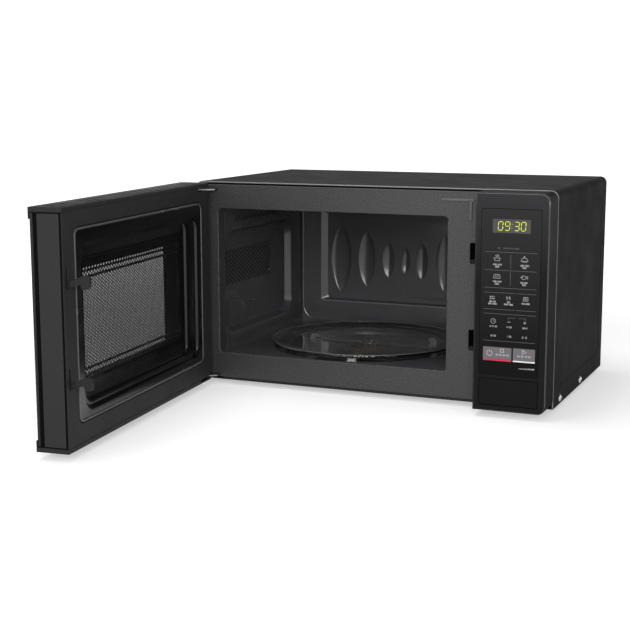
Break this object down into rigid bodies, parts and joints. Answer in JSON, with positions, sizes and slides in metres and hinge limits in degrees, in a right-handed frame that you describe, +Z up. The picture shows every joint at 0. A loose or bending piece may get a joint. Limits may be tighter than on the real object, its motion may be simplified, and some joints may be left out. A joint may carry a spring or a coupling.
{
  "type": "microwave oven",
  "caption": "Counter-top microwave oven with a side-hung door, push-button release, membrane keypad and rotating glass tray.",
  "frame": {"origin": "centre of the underside of the base plate, 6 mm above what the feet stand on", "axes": "+X to the right seen from the front, +Y to the back, +Z up"},
  "size_m": [0.4712, 0.6553, 0.255],
  "materials": {
    "case_paint": "satin black baked enamel on sheet steel",
    "rear_steel": "matte dark paint on sheet steel",
    "base_steel": "zinc-plated sheet steel",
    "foot_rubber": "matte black rubber",
    "front_enamel": "fine-textured dark grey enamel",
    "cavity_enamel": "smooth glossy dark grey enamel",
    "guide_steel": "plain galvanised sheet",
    "mica": "pressed mica sheet",
    "yoke_steel": "zinc-plated steel",
    "ceramic": "ceramic and ferrite",
    "fin_aluminium": "pressed aluminium fins",
    "core_steel": "varnished steel laminations",
    "copper_coil": "varnished copper windings",
    "can_aluminium": "drawn aluminium can",
    "strap_steel": "zinc-plated strip",
    "diode_epoxy": "black epoxy",
    "fan_plastic": "natural polypropylene",
    "motor_steel": "steel laminations",
    "lamp_glass": "clear glass bulb",
    "holder_plastic": "heat-resistant plastic",
    "cutout_black": "black phenolic",
    "board_green": "printed circuit board",
    "fuse_ceramic": "white ceramic fuse in clips",
    "bush_rubber": "black rubber bush",
    "tt_motor": "zinc-plated motor can",
    "coupler_plastic": "natural heat-resistant plastic",
    "ring_plastic": "brown heat-resistant plastic",
    "roller_plastic": "translucent white plastic",
    "tray_glass": "clear tempered glass",
    "bezel_plastic": "fine-textured black plastic",
    "overlay_film": "printed membrane overlay",
    "window_plastic": "tinted clear display window",
    "display_glass": "segment display module",
    "relay_blue": "moulded relay cases",
    "winding_tape": "taped winding on laminations",
    "button_plastic": "fine-textured black plastic",
    "spring_steel": "plated spring wire",
    "slider_plastic": "natural acetal",
    "latch_plastic": "white moulded plastic",
    "switch_black": "black microswitch cases",
    "door_plastic": "fine-textured dark plastic",
    "door_glass": "black-masked glossy outer panel",
    "trim_plastic": "fine-textured dark plastic",
    "screen_enamel": "black enamelled perforated steel",
    "dish_plastic": "glossy black moulding",
    "film_plastic": "clear inner film",
    "hook_plastic": "black acetal",
    "hinge_steel": "zinc-plated steel",
    "screw_steel": "bright-plated dome screws"
  },
  "bodies": {
    "cabinet": {"outer_case": "case_paint", "rear_panel": "rear_steel", "base_plate": "base_steel", "feet": "foot_rubber", "front_plate": "front_enamel", "cavity_walls": "cavity_enamel", "cavity_back": "cavity_enamel", "cavity_floor": "cavity_enamel", "waveguide": "guide_steel", "waveguide_cover": "mica", "magnetron_frame": "yoke_steel", "magnetron_tube": "ceramic", "magnetron_fins": "fin_aluminium", "transformer_core": "core_steel", "transformer_coils": "copper_coil", "capacitor": "can_aluminium", "capacitor_strap": "strap_steel", "hv_diode": "diode_epoxy", "fan_housing": "fan_plastic", "fan_motor": "motor_steel", "cavity_lamp": "lamp_glass", "lamp_holder": "holder_plastic", "thermal_cutouts": "cutout_black", "filter_board": "board_green", "mains_fuse": "fuse_ceramic", "cord_bush": "bush_rubber", "turntable_motor": "tt_motor", "control_bezel": "bezel_plastic", "keypad_overlay": "overlay_film", "display_window": "window_plastic", "display_module": "display_glass", "control_board": "board_green", "relays": "relay_blue", "standby_transformer": "winding_tape", "button_spring": "spring_steel", "latch_board": "latch_plastic", "interlock_switches": "switch_black", "upper_hinge": "hinge_steel", "lower_hinge": "hinge_steel", "hinge_pins": "hinge_steel", "case_screws": "screw_steel"},
    "door": {"door_frame": "door_plastic", "door_glass": "door_glass", "door_trim_top": "trim_plastic", "door_trim_bottom": "trim_plastic", "door_screen": "screen_enamel", "door_dish": "dish_plastic", "door_film": "film_plastic", "latch_spring": "spring_steel"},
    "latch": {"latch_hooks": "hook_plastic"},
    "button": {"door_button": "button_plastic"},
    "slider": {"release_slider": "slider_plastic"},
    "coupler": {"turntable_coupler": "coupler_plastic"},
    "ring": {"roller_ring": "ring_plastic"},
    "roller_1": {"roller_1": "roller_plastic"},
    "roller_2": {"roller_2": "roller_plastic"},
    "roller_3": {"roller_3": "roller_plastic"},
    "tray": {"glass_tray": "tray_glass"},
    "fan": {"fan_wheel": "fan_plastic"}
  },
  "joints": [
    {"name": "door_hinge", "type": "hinge", "parent": "cabinet", "child": "door", "pos_m": [-0.2217, -0.1545, 0.1245], "axis": [0, 0, 1], "range_deg": [-15.6, 84.4]},
    {"name": "latch_lift", "type": "slide", "parent": "door", "child": "latch", "axis": [0, 0, 1], "range_m": [0, 0.006], "stiffness_N_per_m": 200, "springref_m": -0.002, "deforming": ["latch_spring"]},
    {"name": "button_push", "type": "slide", "parent": "cabinet", "child": "button", "axis": [0, 1, 0], "range_m": [0, 0.005], "stiffness_N_per_m": 400, "springref_m": -0.002, "deforming": ["button_spring"]},
    {"name": "slider_lift", "type": "slide", "parent": "cabinet", "child": "slider", "axis": [0, 0, 1], "range_m": [0, 0.004]},
    {"name": "tray_drive", "type": "hinge", "parent": "cabinet", "child": "coupler", "pos_m": [-0.049, -0.0085, 0.02], "axis": [0, 0, 1], "continuous": true},
    {"name": "tray_lift", "type": "slide", "parent": "coupler", "child": "tray", "axis": [0, 0, 1], "range_m": [0, 0.06]},
    {"name": "ring_roll", "type": "hinge", "parent": "cabinet", "child": "ring", "pos_m": [-0.049, -0.0085, 0.0275], "axis": [0, 0, 1], "continuous": true},
    {"name": "roller_1_roll", "type": "hinge", "parent": "ring", "child": "roller_1", "pos_m": [0.02148, 0.05064, 0.0275], "axis": [0.766, 0.6428, 0], "continuous": true},
    {"name": "roller_2_roll", "type": "hinge", "parent": "ring", "child": "roller_2", "pos_m": [-0.13545, 0.02297, 0.0275], "axis": [-0.9397, 0.342, 0], "continuous": true},
    {"name": "roller_3_roll", "type": "hinge", "parent": "ring", "child": "roller_3", "pos_m": [-0.03302, -0.0991, 0.0275], "axis": [0.1736, -0.9848, 0], "continuous": true},
    {"name": "fan_spin", "type": "hinge", "parent": "cabinet", "child": "fan", "pos_m": [0.16375, 0.11, 0.146], "axis": [0, 1, 0], "continuous": true}
  ],
  "couplings": [
    {"joint": "slider_lift", "follows": "button_push", "ratio": 0.8},
    {"joint": "ring_roll", "follows": "tray_drive", "ratio": 0.5},
    {"joint": "roller_1_roll", "follows": "tray_drive", "ratio": -7.931},
    {"joint": "roller_2_roll", "follows": "tray_drive", "ratio": -7.931},
    {"joint": "roller_3_roll", "follows": "tray_drive", "ratio": -7.931}
  ]
}
